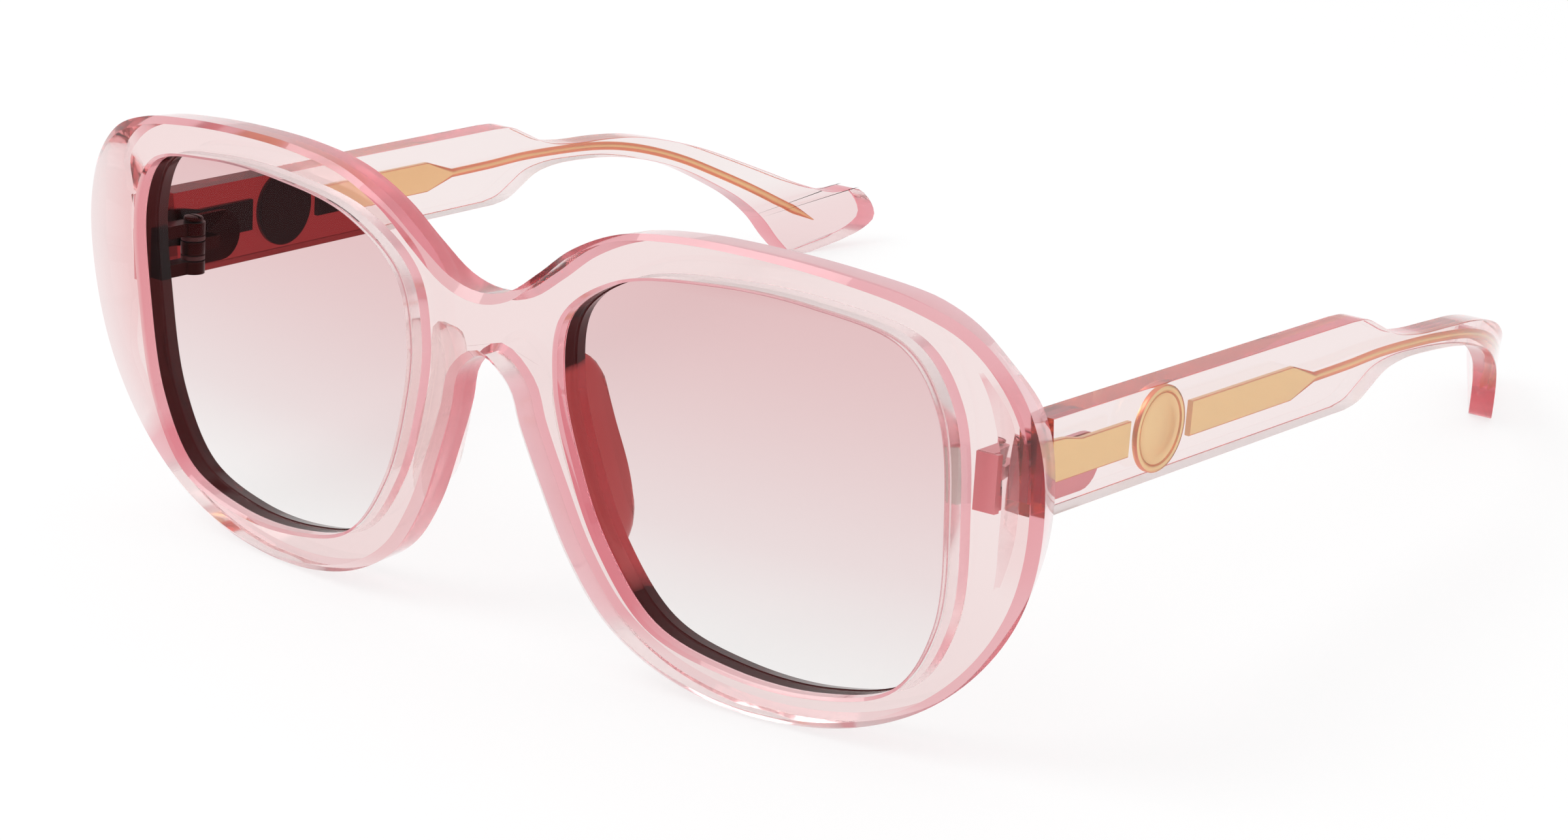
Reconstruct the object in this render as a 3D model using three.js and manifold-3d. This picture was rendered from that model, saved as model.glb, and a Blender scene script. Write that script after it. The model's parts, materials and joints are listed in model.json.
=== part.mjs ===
// Oversized acetate sunglasses: front with two lenses, two folding temples with metal cores.
// Millimetres, +Z up. X is the width, the front faces -Y and the temples run towards +Y.
// Every piece is laid out as worn (temples level), then the whole pair is tipped onto a table.
import * as THREE from 'three';
import { mergeVertices } from 'three/addons/utils/BufferGeometryUtils.js';
import Module from 'manifold-3d';

const wasm = await Module();
wasm.setup();

// ---- driving dimensions -------------------------------------------------------------------
const GAP = 0.3;                 // air left between neighbouring solids
const REST_TILT = 5.87;          // degrees the worn pose tips back when it stands on a table
const FOOT_TRIM = 0.12;          // flat polished under the rims and tips where they stand

const FRONT_THICKNESS = 6.0;
const FRONT_Y = -5.05;           // front face at the middle of the bridge
const WRAP = 0.00126;            // the front face bends back as WRAP * x^2
const LEAN = 0.127;              // the lower edge sits further back, per mm of height

// Right half of the widest outline, bridge top to bridge bottom: x, z, width of front bevel.
const OUTLINE = [
  [0, 9.0, 1.2], [4.5, 10.0, 1.1], [9.2, 13.2, 0.9], [14.2, 17.0, 0.7], [21, 20.1, 0.7],
  [29.5, 21.4, 0.7], [40, 21.5, 0.7], [50, 20.8, 0.8], [59, 19.4, 1.0], [65.6, 16.8, 1.1],
  [70.5, 11.8, 1.2], [73.2, 5.0, 1.2], [73.5, -5.0, 1.2], [71.4, -14.2, 1.2], [66.7, -22.2, 1.1],
  [59.7, -28.8, 1.0], [51, -33.1, 0.9], [41, -35.0, 0.9], [31.5, -34.7, 1.0], [23, -32.3, 1.1],
  [16.4, -28.0, 1.2], [11.6, -21.4, 1.2], [8.0, -13.4, 1.1], [5.3, -6.5, 1.0], [3.9, -1.8, 0.9],
  [0, 1.2, 0.8],
];
// Right lens opening at the front face, clockwise from the temple side.
const OPENING = [
  [62.7, -6.0], [61.8, 7.4], [57.4, 14.2], [46, 16.7], [33, 16.8], [20.6, 14.6],
  [12.8, 8.8], [11.3, 0.4], [13.1, -9.2], [17.0, -19.2], [23.6, -27.4], [34, -30.5],
  [46, -30.6], [56.4, -27.2], [61.4, -18.6],
];
const BEVEL_DEPTH_BASE = 0.25;   // front bevel depth = base + slope * its width
const BEVEL_DEPTH_SLOPE = 0.58;
const BACK_BEVEL = 0.9;
const SIDE_DRAFT = 0.06;         // the side wall leans in by this much per mm of depth
const END_DRAFT = 0.34;          // and by this much more towards the temples
const END_THICKNESS = 9.0;       // the end pieces stand proud behind, where the temples butt
const END_X = 66.8;
const END_TOP = 9.0;
const END_BOTTOM = -7.6;

const RIM_BEVEL = 0.4;           // bevel round each opening, measured in the face
const RIM_BEVEL_DEPTH = 0.4;
const GROOVE_FRONT = 1.6;        // lens groove, as depth below the front face
const GROOVE_BACK = 4.2;
const GROOVE_INSET = -0.4;       // groove floor, measured inwards from the opening line
const LENS_INSET = GROOVE_INSET + 0.4;
const LENS_FRONT = GROOVE_FRONT + GAP;
const LENS_BACK = GROOVE_BACK - GAP;

const OUTLINE_STEPS = 112;
const OPENING_STEPS = 56;

const TEMPLE_THICKNESS = 3.6;
const TEMPLE_X = 69.4;           // outer face at the front plane
const TEMPLE_SPLAY = 0.0317;     // outwards per mm of length
const TEMPLE_START = 10.6;      // the front end is cut to the lean of the front
const TIP_BEND_START = 100;
const TIP_BEND = 0.0062;         // inward curve of the tip: TIP_BEND * (y - start)^2
const TEMPLE_TOP = 6.4;
const TEMPLE_BOTTOM = -5.0;
// Side outline of the temple behind its straight part: y, z.
const TEMPLE_UPPER = [
  [76, 6.4], [80, 6.1], [83.6, 4.7], [88.4, 2.8], [94.8, 1.8], [103, 1.4], [110.4, 0.8],
  [117.4, -0.5], [124, -2.3], [130.2, -4.6], [136.2, -7.0], [141.8, -9.3], [147.2, -10.8],
  [150.6, -10.3], [152.6, -12.0], [153.6, -15.0], [152, -17.0], [148.6, -18.9],
];
const TEMPLE_LOWER = [
  [144, -20.6], [141.2, -20.8], [138.6, -18.4], [135.6, -14.6], [131.6, -11.2], [126.6, -8.3],
  [120.4, -5.4], [113.6, -3.3], [106, -1.8], [98.6, -1.1], [90.8, -0.9], [86, -1.6],
  [82.8, -3.1], [79.8, -4.5], [76.4, -5.0],
];

const CORE_FACE_DEPTH = 0.4;     // metal cores lie this far below the outer face
const CORE_THICKNESS = 1.2;
const CORE_Z = 0.8;
const CORE_HALF = 2.15;
const CORE_FRONT_START = 11.6;
const CORE_HEAD_END = 14.6;      // the bar is taller at its front end
const CORE_HEAD_RISE = 1.2;
const EMBLEM_Y = 33.0;
const EMBLEM_R = 5.2;
const EMBLEM_RIM = 0.8;
const CORE_GAP_R = 6.9;          // radius of the hollow ends that face the medallion
const CORE_REAR_END = 62.8;
const WIRE_START = 68.4;
const WIRE_HALF = 0.65;
const WIRE_POINT = 4.0;
const WIRE_PATH = [
  [WIRE_START, 0.6], [77.2, 0.65], [84.8, 0.85], [92.7, 0.65], [100.7, 0.2], [108.5, -0.7],
  [115.6, -2.2], [122.4, -4.3], [128.7, -6.9], [134.8, -9.7], [140.5, -12.7], [144.5, -15.0],
];

const HINGE_X = 64.15;
const HINGE_Y = 11.5;
const HINGE_Z = -0.6;
const KNUCKLE_R = 1.6;
const KNUCKLE_HEIGHT = 1.7;
const KNUCKLE_SPACE = 0.9;       // holds one thin washer with air on both sides
const BORE_R = 0.95;
const SCREW_R = 0.6;
const SCREW_HEAD_R = 1.3;
const SCREW_HEAD_HEIGHT = 0.7;
const SCREW_SLOT = 0.35;
const LEAF_HALF = 3.4;
const LEAF_THICKNESS = 1.1;
const FRONT_LEAF_IN = 63.6;      // the plate sunk into the front, across the width
const FRONT_LEAF_OUT = 66.4;
const TEMPLE_LEAF_END = 22.5;
const ROUND_SIDES = 24;

const PAD_HEIGHT = 4.2;
const PAD_BASE = [
  [8.8, 2.6], [10.6, 2.6], [11.8, -4.4], [14.2, -12.4], [15.6, -18.0], [15.0, -21.2],
  [13.4, -20.4], [10.9, -15.8], [8.7, -9.6], [7.4, -2.4],
];
const PAD_CREST = [
  [9.8, -0.8], [10.7, -1.6], [12.3, -6.4], [13.9, -11.6], [14.4, -15.4], [13.9, -17.4],
  [12.9, -16.4], [12.0, -13.2], [11.1, -8.8], [10.1, -4.2],
];
const PAD_STEPS = 36;

// ---- shape helpers ------------------------------------------------------------------------
function signedVolume(position, index) {
  const a = new THREE.Vector3();
  const b = new THREE.Vector3();
  const c = new THREE.Vector3();
  let total = 0;
  for (let i = 0; i < index.count; i += 3) {
    a.fromBufferAttribute(position, index.getX(i));
    b.fromBufferAttribute(position, index.getX(i + 1));
    c.fromBufferAttribute(position, index.getX(i + 2));
    total += a.dot(b.cross(c));
  }
  return total;
}

function faceOutwards(geometry) {
  const index = geometry.index;
  if (signedVolume(geometry.attributes.position, index) > 0) return geometry;
  for (let i = 0; i < index.count; i += 3) {
    const first = index.getX(i);
    index.setX(i, index.getX(i + 1));
    index.setX(i + 1, first);
  }
  return geometry;
}

function weld(geometry) {
  const bare = new THREE.BufferGeometry();
  bare.setAttribute('position', geometry.attributes.position.clone());
  if (geometry.index) bare.setIndex(geometry.index.clone());
  return faceOutwards(mergeVertices(bare, 1e-4));
}

function solid(geometry) {
  const welded = weld(geometry);
  return new wasm.Manifold(new wasm.Mesh({
    numProp: 3,
    vertProperties: new Float32Array(welded.attributes.position.array),
    triVerts: new Uint32Array(welded.index.array),
  }));
}

function geometryOf(manifold) {
  const mesh = manifold.getMesh();
  const geometry = new THREE.BufferGeometry();
  geometry.setAttribute('position', new THREE.BufferAttribute(mesh.vertProperties.slice(), 3));
  geometry.setIndex(new THREE.BufferAttribute(mesh.triVerts.slice(), 1));
  return geometry;
}

function moveVertices(geometry, move) {
  const position = geometry.attributes.position;
  const point = new THREE.Vector3();
  for (let i = 0; i < position.count; i += 1) {
    point.fromBufferAttribute(position, i);
    move(point);
    position.setXYZ(i, point.x, point.y, point.z);
  }
  return geometry;
}

// Closed smooth loop through hand-set points; a third number rides along as a width.
function smoothLoop(points, steps) {
  const knots = points.map(([x, z, width = 0]) => new THREE.Vector3(x, width, z));
  return new THREE.CatmullRomCurve3(knots, true, 'centripetal').getSpacedPoints(steps).slice(0, -1);
}

function smoothLine(points, steps) {
  const knots = points.map(([y, z]) => new THREE.Vector3(y, 0, z));
  return new THREE.CatmullRomCurve3(knots, false, 'centripetal').getSpacedPoints(steps);
}

// Moves each loop point towards the inside of the loop by amount(point).
function insetLoop(loop, amount) {
  const count = loop.length;
  let area = 0;
  loop.forEach((p, i) => {
    const q = loop[(i + 1) % count];
    area += p.x * q.z - q.x * p.z;
  });
  const side = Math.sign(area);
  return loop.map((p, i) => {
    const before = loop[(i + count - 1) % count];
    const after = loop[(i + 1) % count];
    const dx = after.x - before.x;
    const dz = after.z - before.z;
    const reach = amount(p) * side / Math.hypot(dx, dz);
    return new THREE.Vector3(p.x - dz * reach, p.y, p.z + dx * reach);
  });
}

// Triangles across a loop, wound the same way round as the loop itself.
function capFaces(ring, offset) {
  const flat = ring.map((p) => new THREE.Vector2(p.x, p.z));
  const faces = THREE.ShapeUtils.triangulateShape(flat, []).flat().map((i) => i + offset);
  return THREE.ShapeUtils.isClockWise(flat) ? faces.reverse() : faces;
}

// Skin over a stack of loops with the same number of points, closed by a cap at each end.
function loft(rings) {
  const count = rings[0].length;
  const index = [];
  for (let r = 0; r + 1 < rings.length; r += 1) {
    for (let i = 0; i < count; i += 1) {
      const j = (i + 1) % count;
      const a = r * count + i;
      const b = r * count + j;
      index.push(a, b, a + count, b, b + count, a + count);
    }
  }
  index.push(...capFaces(rings[0], 0).reverse());
  index.push(...capFaces(rings.at(-1), (rings.length - 1) * count));
  const geometry = new THREE.BufferGeometry().setFromPoints(rings.flat());
  geometry.setIndex(index);
  return faceOutwards(geometry);
}

const atDepth = (loop, depth) => loop.map((p) => new THREE.Vector3(p.x, depth(p), p.z));

// Flat plate with an outline in Y (length) and Z, spanning a range of depth below the outer face.
function sidePlate(outline, depthFrom, depthTo, bevel = 0) {
  const shape = new THREE.Shape(outline.map(([y, z]) => new THREE.Vector2(y, z)));
  const geometry = new THREE.ExtrudeGeometry(shape, {
    depth: depthTo - depthFrom - 2 * bevel,
    bevelEnabled: bevel > 0,
    bevelThickness: bevel,
    bevelSize: bevel,
    bevelOffset: -bevel,
    bevelSegments: 1,
    curveSegments: ROUND_SIDES,
  });
  return moveVertices(geometry, (p) => p.set(depthFrom + bevel + p.z, p.x, p.y));
}

function uprightCylinder(radius, bottom, top, sides = ROUND_SIDES) {
  const geometry = new THREE.CylinderGeometry(radius, radius, top - bottom, sides);
  geometry.rotateX(Math.PI / 2);
  geometry.translate(HINGE_X, HINGE_Y, (top + bottom) / 2);
  return geometry;
}

function block(x0, x1, y0, y1, z0, z1) {
  const geometry = new THREE.BoxGeometry(x1 - x0, y1 - y0, z1 - z0);
  geometry.translate((x0 + x1) / 2, (y0 + y1) / 2, (z0 + z1) / 2);
  return geometry;
}

// ---- places in the worn pair --------------------------------------------------------------
const frontFaceY = (x, z) => FRONT_Y + WRAP * x * x - LEAN * z;
const templeOuterX = (y) => TEMPLE_X + TEMPLE_SPLAY * y - TIP_BEND * Math.max(y - TIP_BEND_START, 0) ** 2;

const bendFront = (geometry) => moveVertices(geometry, (p) => p.setY(p.y + frontFaceY(p.x, p.z)));
// Turns depth below the outer face into a place across the width.
const bendTemple = (geometry) => moveVertices(geometry, (p) => p.setX(templeOuterX(p.y) - p.x));

// ---- front --------------------------------------------------------------------------------
const bevelDepth = (width) => BEVEL_DEPTH_BASE + BEVEL_DEPTH_SLOPE * width;

const draft = (p) => SIDE_DRAFT + END_DRAFT * THREE.MathUtils.smoothstep(Math.abs(p.x), 58, 70);

function frontBlank(thickness) {
  const left = OUTLINE.slice(1, -1).reverse().map(([x, z, width]) => [-x, z, width]);
  const widest = smoothLoop([...OUTLINE, ...left], 2 * OUTLINE_STEPS);
  const backWall = thickness - BACK_BEVEL;
  const lean = (p) => draft(p) * (backWall - bevelDepth(p.y));
  return solid(loft([
    atDepth(insetLoop(widest, (p) => p.y), () => 0),
    atDepth(widest, (p) => bevelDepth(p.y)),
    atDepth(insetLoop(widest, lean), () => backWall),
    atDepth(insetLoop(widest, (p) => lean(p) + BACK_BEVEL), () => thickness),
  ]));
}

function openingCutter(loop) {
  const ring = (inset, depth) => atDepth(insetLoop(loop, () => inset), () => depth);
  const flare = RIM_BEVEL / RIM_BEVEL_DEPTH;
  return solid(loft([
    ring(-flare, -1),
    ring(RIM_BEVEL, RIM_BEVEL_DEPTH),
    ring(RIM_BEVEL, GROOVE_FRONT),
    ring(GROOVE_INSET, GROOVE_FRONT),
    ring(GROOVE_INSET, GROOVE_BACK),
    ring(RIM_BEVEL, GROOVE_BACK),
    ring(RIM_BEVEL - 0.4, FRONT_THICKNESS + 1),
  ]));
}

const mirrored = (points) => points.map(([x, ...rest]) => [-x, ...rest]);

function frontLeafPocket(side) {
  const inner = FRONT_LEAF_IN - GAP;
  const outer = FRONT_LEAF_OUT + GAP;
  const depth = FRONT_THICKNESS - LEAF_THICKNESS - GAP;
  const pocket = block(inner, outer, depth, FRONT_THICKNESS + 1, HINGE_Z - LEAF_HALF - GAP,
    HINGE_Z + LEAF_HALF + GAP);
  return solid(side > 0 ? pocket : mirrorX(pocket));
}

function mirrorX(geometry) {
  return faceOutwards(moveVertices(geometry, (p) => p.setX(-p.x)));
}

function frontFrame() {
  let body = frontBlank(FRONT_THICKNESS);
  const thick = frontBlank(END_THICKNESS);
  [1, -1].forEach((side) => {
    const points = side > 0 ? OPENING : mirrored(OPENING);
    body = body.subtract(openingCutter(smoothLoop(points, OPENING_STEPS)));
    body = body.subtract(frontLeafPocket(side));
    const zone = block(END_X, 100, FRONT_THICKNESS - 2, END_THICKNESS + 1, END_BOTTOM, END_TOP);
    body = body.add(thick.intersect(solid(side > 0 ? zone : mirrorX(zone))));
  });
  return bendFront(geometryOf(body));
}

const LENS_RINGS = [0.12, 0.4, 0.7, 1];

function lens() {
  const edge = insetLoop(smoothLoop(OPENING, OPENING_STEPS), () => LENS_INSET);
  const centre = new THREE.Vector3();
  edge.forEach((p) => centre.addScaledVector(p, 1 / edge.length));
  const ring = (scale, depth) => edge.map((p) => new THREE.Vector3(
    centre.x + (p.x - centre.x) * scale, depth, centre.z + (p.z - centre.z) * scale));
  return bendFront(loft([
    ...LENS_RINGS.map((scale) => ring(scale, LENS_FRONT)),
    ...LENS_RINGS.toReversed().map((scale) => ring(scale, LENS_BACK)),
  ]));
}

function nosePad() {
  const base = smoothLoop(PAD_BASE, PAD_STEPS);
  const crest = smoothLoop(PAD_CREST, PAD_STEPS);
  const between = (share, height) => base.map((p, i) => new THREE.Vector3(
    p.x + (crest[i].x - p.x) * share, FRONT_THICKNESS + GAP + height, p.z + (crest[i].z - p.z) * share));
  return bendFront(loft([
    between(0, 0),
    between(0.25, PAD_HEIGHT * 0.55),
    between(0.6, PAD_HEIGHT * 0.9),
    between(1, PAD_HEIGHT),
  ]));
}

// ---- temple and its metal core ------------------------------------------------------------
function templeOutline() {
  const upper = smoothLine(TEMPLE_UPPER, 40).map((p) => [p.x, p.z]);
  const lower = smoothLine(TEMPLE_LOWER, 32).map((p) => [p.x, p.z]);
  const straight = [66, 52, 38, 24];
  return [
    [TEMPLE_START - LEAN * TEMPLE_TOP, TEMPLE_TOP],
    ...straight.toReversed().map((y) => [y, TEMPLE_TOP]),
    ...upper,
    ...lower,
    ...straight.map((y) => [y, TEMPLE_BOTTOM]),
    [TEMPLE_START - LEAN * TEMPLE_BOTTOM, TEMPLE_BOTTOM],
  ];
}

function hollowEnd(direction, half, radius) {
  const reach = Math.asin(half / radius);
  const steps = [-1, -0.5, 0, 0.5, 1];
  return steps.map((s) => [
    EMBLEM_Y + direction * radius * Math.cos(s * reach),
    CORE_Z + direction * radius * Math.sin(s * reach),
  ]);
}

function frontBarOutline(grow = 0) {
  const half = CORE_HALF + grow;
  const start = CORE_FRONT_START - grow;
  return [
    [CORE_HEAD_END + grow, CORE_Z + half],
    [CORE_HEAD_END - 1 + grow, CORE_Z + half + CORE_HEAD_RISE],
    [start, CORE_Z + half + CORE_HEAD_RISE],
    [start, CORE_Z - half],
    ...hollowEnd(-1, half, CORE_GAP_R - grow).toReversed(),
  ];
}

function wireEdge(offset) {
  const line = smoothLine(WIRE_PATH, 26);
  return line.map((p, i) => {
    const before = line[Math.max(i - 1, 0)];
    const after = line[Math.min(i + 1, line.length - 1)];
    const length = Math.hypot(after.x - before.x, after.z - before.z);
    return [p.x - (after.z - before.z) * offset / length, p.z + (after.x - before.x) * offset / length];
  });
}

function wireTip(grow) {
  const end = WIRE_PATH.at(-1);
  const before = WIRE_PATH.at(-2);
  const length = Math.hypot(end[0] - before[0], end[1] - before[1]);
  const reach = (WIRE_POINT * 0.4 + grow) / length;
  return [end[0] + (end[0] - before[0]) * reach, end[1] + (end[1] - before[1]) * reach];
}

function rearBarOutline(grow = 0) {
  const half = CORE_HALF + grow;
  return [
    ...hollowEnd(1, half, CORE_GAP_R - grow),
    [CORE_REAR_END, CORE_Z + half],
    ...wireEdge(WIRE_HALF + grow),
    wireTip(grow),
    ...wireEdge(-WIRE_HALF - grow).toReversed(),
    [CORE_REAR_END, CORE_Z - half],
  ];
}

function discOutline(radius) {
  return Array.from({ length: ROUND_SIDES }, (_, i) => {
    const angle = i * 2 * Math.PI / ROUND_SIDES;
    return [EMBLEM_Y + radius * Math.cos(angle), CORE_Z + radius * Math.sin(angle)];
  });
}

function templeLeafOutline(grow = 0) {
  const half = LEAF_HALF + grow;
  const start = HINGE_Y + KNUCKLE_R + GAP;
  const round = [90, 60, 30, 0, -30, -60, -90].map((degrees) => {
    const angle = THREE.MathUtils.degToRad(degrees);
    return [TEMPLE_LEAF_END - LEAF_HALF + half * Math.cos(angle), HINGE_Z + half * Math.sin(angle)];
  });
  return [[start - grow, HINGE_Z - half], [start - grow, HINGE_Z + half], ...round];
}

function temple() {
  const recess = CORE_FACE_DEPTH + CORE_THICKNESS + GAP;
  let body = solid(sidePlate(templeOutline(), 0, TEMPLE_THICKNESS, 0.5));
  [frontBarOutline(GAP), rearBarOutline(GAP), discOutline(EMBLEM_R + GAP)].forEach((outline) => {
    body = body.subtract(solid(sidePlate(outline, -1, recess)));
  });
  const leafDepth = TEMPLE_THICKNESS - LEAF_THICKNESS - GAP;
  body = body.subtract(solid(sidePlate(templeLeafOutline(GAP), leafDepth, TEMPLE_THICKNESS + 1)));
  return bendTemple(geometryOf(body));
}

function corePlate(outline) {
  return bendTemple(sidePlate(outline, CORE_FACE_DEPTH, CORE_FACE_DEPTH + CORE_THICKNESS));
}

function medallion() {
  const rim = solid(sidePlate(discOutline(EMBLEM_R), 0, CORE_FACE_DEPTH + CORE_THICKNESS));
  const dish = solid(sidePlate(discOutline(EMBLEM_R - EMBLEM_RIM), -1, 0.45));
  return bendTemple(geometryOf(rim.subtract(dish)));
}

// ---- hinge --------------------------------------------------------------------------------
const KNUCKLE_PITCH = KNUCKLE_HEIGHT + KNUCKLE_SPACE;
const knuckleBottom = (level) => HINGE_Z + level * KNUCKLE_PITCH - KNUCKLE_HEIGHT / 2;

function knuckle(level) {
  const bottom = knuckleBottom(level);
  return solid(uprightCylinder(KNUCKLE_R, bottom, bottom + KNUCKLE_HEIGHT));
}

function bore() {
  return solid(uprightCylinder(BORE_R, HINGE_Z - 10, HINGE_Z + 10, 16));
}

function frontLeaf() {
  const back = frontFaceY(HINGE_X, HINGE_Z) + FRONT_THICKNESS;
  const plate = block(FRONT_LEAF_IN, FRONT_LEAF_OUT, FRONT_THICKNESS - LEAF_THICKNESS,
    FRONT_THICKNESS, HINGE_Z - LEAF_HALF, HINGE_Z + LEAF_HALF);
  let leaf = solid(bendFront(plate));
  [1, -1].forEach((level) => {
    const bottom = knuckleBottom(level);
    const arm = block(FRONT_LEAF_IN, HINGE_X + KNUCKLE_R, back - 0.8, HINGE_Y, bottom,
      bottom + KNUCKLE_HEIGHT);
    leaf = leaf.add(knuckle(level)).add(solid(arm));
  });
  return geometryOf(leaf.subtract(bore()));
}

function templeLeaf() {
  const inner = TEMPLE_THICKNESS - LEAF_THICKNESS;
  const bottom = knuckleBottom(0);
  const top = bottom + KNUCKLE_HEIGHT;
  const plateX = templeOuterX(HINGE_Y) - TEMPLE_THICKNESS;
  const plateY = HINGE_Y + KNUCKLE_R + GAP;
  const arm = solid(block(HINGE_X, plateX - GAP, HINGE_Y - 0.4, plateY + 3, bottom, top));
  const root = solid(block(HINGE_X, plateX + 0.6, plateY + GAP, plateY + 3, bottom, top));
  const plate = solid(bendTemple(sidePlate(templeLeafOutline(), inner, TEMPLE_THICKNESS)));
  return geometryOf(plate.add(arm).add(root).add(knuckle(0)).subtract(bore()));
}

function hingeScrew() {
  const top = knuckleBottom(1) + KNUCKLE_HEIGHT + GAP;
  const shank = solid(uprightCylinder(SCREW_R, knuckleBottom(-1), top + 0.2, 16));
  const head = solid(uprightCylinder(SCREW_HEAD_R, top, top + SCREW_HEAD_HEIGHT));
  const slot = solid(block(HINGE_X - 2, HINGE_X + 2, HINGE_Y - SCREW_SLOT / 2, HINGE_Y + SCREW_SLOT / 2,
    top + SCREW_HEAD_HEIGHT / 2, top + 2));
  return geometryOf(shank.add(head).subtract(slot));
}

function hingeWasher(level) {
  const thickness = KNUCKLE_SPACE - 2 * GAP;
  const middle = HINGE_Z + level * KNUCKLE_PITCH / 2;
  const disc = solid(uprightCylinder(KNUCKLE_R, middle - thickness / 2, middle + thickness / 2));
  return geometryOf(disc.subtract(bore()));
}

// ---- assembly -----------------------------------------------------------------------------
const finish = (color, roughness, metalness, opacity = 1) => ({
  color, roughness, metalness, opacity, transparent: opacity < 1,
});
const ACETATE = finish(0xf0c8cc, 0.15, 0, 0.55);
const LENS_TINT = finish(0xd8b4b6, 0.05, 0, 0.5);
const GOLD = finish(0xdebc8a, 0.35, 1);
const STEEL = finish(0xc4bcb6, 0.3, 1);
const NYLON = finish(0xe8e4df, 0.6, 0);

function named(name, geometry, look) {
  const mesh = new THREE.Mesh(weld(geometry), new THREE.MeshStandardMaterial(look));
  mesh.name = name;
  return mesh;
}

const PAIRED = [
  ['lens', lens, LENS_TINT],
  ['nose_pad', nosePad, ACETATE],
  ['front_hinge_leaf', frontLeaf, STEEL],
  ['hinge_screw', hingeScrew, STEEL],
  ['hinge_washer_upper', () => hingeWasher(1), NYLON],
  ['hinge_washer_lower', () => hingeWasher(-1), NYLON],
  ['temple_hinge_leaf', templeLeaf, STEEL],
  ['temple', temple, ACETATE],
  ['core_front_bar', () => corePlate(frontBarOutline()), GOLD],
  ['medallion', medallion, GOLD],
  ['core_rear_wire', () => corePlate(rearBarOutline()), GOLD],
];

// Shaves the feet of the standing pair flat; everything below the floor plane goes.
function standOnFloor(meshes, tilt) {
  const toRow = new THREE.Matrix4().makeRotationX(-tilt);
  const box = new THREE.Box3();
  meshes.forEach((mesh) => {
    mesh.geometry.applyMatrix4(toRow);
    mesh.geometry.computeBoundingBox();
    box.union(mesh.geometry.boundingBox);
  });
  const floor = box.min.z + FOOT_TRIM;
  const below = solid(block(-200, 200, -200, 300, floor - 20, floor));
  const centre = box.getCenter(new THREE.Vector3());
  meshes.forEach((mesh) => {
    if (mesh.geometry.boundingBox.min.z < floor) {
      mesh.geometry = weld(geometryOf(solid(mesh.geometry).subtract(below)));
    }
    mesh.geometry.translate(-centre.x, -centre.y, -floor);
  });
}

function sunglasses() {
  const meshes = [named('front_frame', frontFrame(), ACETATE)];
  PAIRED.forEach(([name, make, look]) => {
    meshes.push(named(`${name}_right`, make(), look));
    meshes.push(named(`${name}_left`, mirrorX(weld(make())), look));
  });
  standOnFloor(meshes, THREE.MathUtils.degToRad(REST_TILT));
  const group = new THREE.Group();
  group.add(...meshes);
  return group;
}

export default sunglasses();
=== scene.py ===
"""Oversized acetate sunglasses: the finished look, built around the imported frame."""

import json
import math

import bmesh
import bpy
from mathutils import Matrix, Vector


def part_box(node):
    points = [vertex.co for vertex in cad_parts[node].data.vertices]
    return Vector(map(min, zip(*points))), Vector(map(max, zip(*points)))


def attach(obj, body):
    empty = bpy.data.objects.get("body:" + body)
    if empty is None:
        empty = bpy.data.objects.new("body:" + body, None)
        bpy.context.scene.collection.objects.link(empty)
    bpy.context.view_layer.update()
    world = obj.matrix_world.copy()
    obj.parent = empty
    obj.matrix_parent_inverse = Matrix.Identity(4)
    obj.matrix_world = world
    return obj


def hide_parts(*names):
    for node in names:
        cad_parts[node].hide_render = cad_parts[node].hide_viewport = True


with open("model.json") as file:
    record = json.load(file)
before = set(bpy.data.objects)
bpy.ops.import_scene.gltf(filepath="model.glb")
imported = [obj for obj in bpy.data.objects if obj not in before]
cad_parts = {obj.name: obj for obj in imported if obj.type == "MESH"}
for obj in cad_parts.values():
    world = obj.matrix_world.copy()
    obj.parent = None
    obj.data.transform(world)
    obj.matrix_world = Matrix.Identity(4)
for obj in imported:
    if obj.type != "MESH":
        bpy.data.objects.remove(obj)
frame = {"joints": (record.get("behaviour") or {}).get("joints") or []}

bl_info = {
    "name": "Acetate Sunglasses",
    "version": (1, 0, 0),
    "blender": (4, 5, 0),
    "location": "3D View > Sidebar > Sunglasses",
    "description": "Builds a pair of oversized transparent acetate sunglasses",
    "category": "Add Mesh",
}

# ---- shape, in millimetres, as worn: temples level along +Y, the front facing -Y ------------
FRONT_Y = -5.05
WRAP = 0.00126
LEAN = 0.127
# Right half of the widest outline, bridge top to bridge bottom: x, z, width of front bevel.
OUTLINE = [
    (0, 9.0, 1.2), (4.5, 10.0, 1.1), (9.2, 13.2, 0.9), (14.2, 17.0, 0.7), (21, 20.1, 0.7),
    (29.5, 21.4, 0.7), (40, 21.5, 0.7), (50, 20.8, 0.8), (59, 19.4, 1.0), (65.6, 16.8, 1.1),
    (70.5, 11.8, 1.2), (73.2, 5.0, 1.2), (73.5, -5.0, 1.2), (71.4, -14.2, 1.2), (66.7, -22.2, 1.1),
    (59.7, -28.8, 1.0), (51, -33.1, 0.9), (41, -35.0, 0.9), (31.5, -34.7, 1.0), (23, -32.3, 1.1),
    (16.4, -28.0, 1.2), (11.6, -21.4, 1.2), (8.0, -13.4, 1.1), (5.3, -6.5, 1.0), (3.9, -1.8, 0.9),
    (0, 1.2, 0.8),
]
OPENING = [
    (62.7, -6.0), (61.8, 7.4), (57.4, 14.2), (46, 16.7), (33, 16.8), (20.6, 14.6),
    (12.8, 8.8), (11.3, 0.4), (13.1, -9.2), (17.0, -19.2), (23.6, -27.4), (34, -30.5),
    (46, -30.6), (56.4, -27.2), (61.4, -18.6),
]
OPENING_CENTRE = (38.0, -6.0)
BEVEL_DEPTH_BASE = 0.25
BEVEL_DEPTH_SLOPE = 0.58
BACK_BEVEL = 0.9
SIDE_DRAFT = 0.06
END_DRAFT = 0.34
END_RISE = 3.0
END_START = 60
RIM_BEVEL = 0.4
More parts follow.
